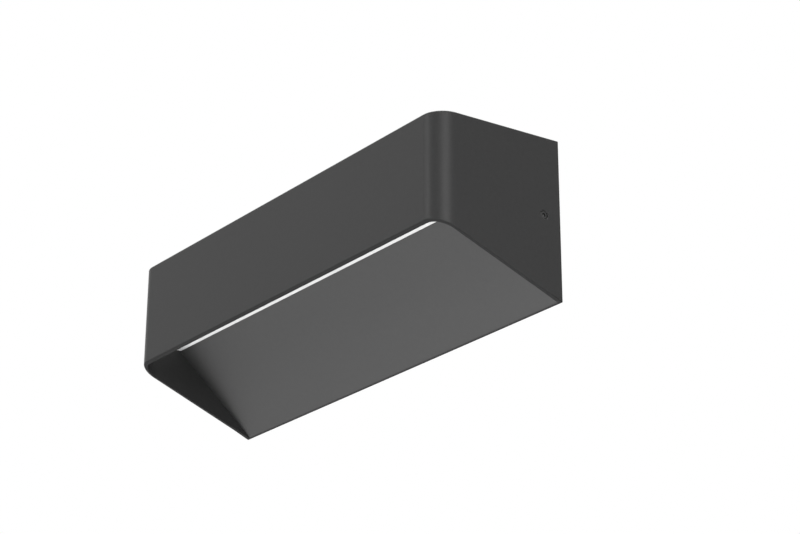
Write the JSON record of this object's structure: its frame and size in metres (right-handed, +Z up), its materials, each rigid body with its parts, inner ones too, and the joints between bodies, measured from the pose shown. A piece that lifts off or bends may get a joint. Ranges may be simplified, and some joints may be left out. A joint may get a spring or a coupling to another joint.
{
  "type": "outdoor wall light",
  "caption": "Cast outdoor wall light with a flat front, round front corners and a rim that slopes down to the wall; it shines down through a wide slot behind its front wall.",
  "frame": {"origin": "centre of the bracket's wall face, level with the middle of the shade's height at the wall", "axes": "+X to the right seen from the room, +Y into the wall, +Z up"},
  "size_m": [0.27, 0.07, 0.08],
  "materials": {
    "anthracite_powder_coat": "matte powder coat with a fine texture on cast aluminium",
    "zinc_plated_steel": "satin zinc plate",
    "dark_steel": "satin blackened steel",
    "stainless_steel": "satin",
    "brass": "satin",
    "bare_aluminium": "satin mill finish",
    "opal_plastic": "matte opal",
    "white_silicone": "matte",
    "white_board": "matte white solder mask on an aluminium core",
    "chip_phosphor": "satin",
    "white_plastic": "satin",
    "black_plastic": "matte",
    "grey_foam": "matte",
    "black_rubber": "matte",
    "green_board": "satin",
    "transformer_tape": "satin tape round a wound core",
    "capacitor_sleeve": "satin",
    "cream_plastic": "satin",
    "brown_lead": "satin",
    "blue_lead": "satin",
    "green_yellow_lead": "satin",
    "red_lead": "satin",
    "black_lead": "satin"
  },
  "bodies": {
    "wall_bracket": {"wall_bracket": "zinc_plated_steel", "bracket_earth_screw": "brass", "bracket_earth_washer": "brass"},
    "lamp_body": {"housing": "anthracite_powder_coat", "diffuser": "opal_plastic", "diffuser_seal": "white_silicone", "light_carrier": "bare_aluminium", "carrier_screws": "stainless_steel", "led_board": "white_board", "led_chips": "chip_phosphor", "led_board_screws": "stainless_steel", "led_connector": "white_plastic", "rear_cover": "black_plastic", "cover_gasket": "grey_foam", "cover_screws": "stainless_steel", "cable_grommet": "black_rubber", "driver_case": "white_plastic", "driver_lid": "white_plastic", "driver_board": "green_board", "driver_transformer": "transformer_tape", "driver_capacitors": "capacitor_sleeve", "driver_screws": "stainless_steel", "terminal_block": "cream_plastic", "terminal_inserts": "brass", "terminal_screws": "stainless_steel", "block_screws": "stainless_steel", "earth_screw": "brass", "earth_washer": "brass", "earth_tag": "stainless_steel", "live_lead": "brown_lead", "neutral_lead": "blue_lead", "earth_lead": "green_yellow_lead", "led_plus_lead": "red_lead", "led_minus_lead": "black_lead"},
    "side_screw_left": {"side_screw_left": "dark_steel"},
    "side_screw_right": {"side_screw_right": "dark_steel"}
  },
  "joints": [
    {"name": "lamp_pull_off", "type": "slide", "parent": "wall_bracket", "child": "lamp_body", "axis": [0, -1, 0], "range_m": [0, 0.04]},
    {"name": "side_screw_left_back_out", "type": "slide", "parent": "lamp_body", "child": "side_screw_left", "axis": [-1, 0, 0], "range_m": [0, 0.003]},
    {"name": "side_screw_right_back_out", "type": "slide", "parent": "lamp_body", "child": "side_screw_right", "axis": [1, 0, 0], "range_m": [0, 0.003]}
  ]
}
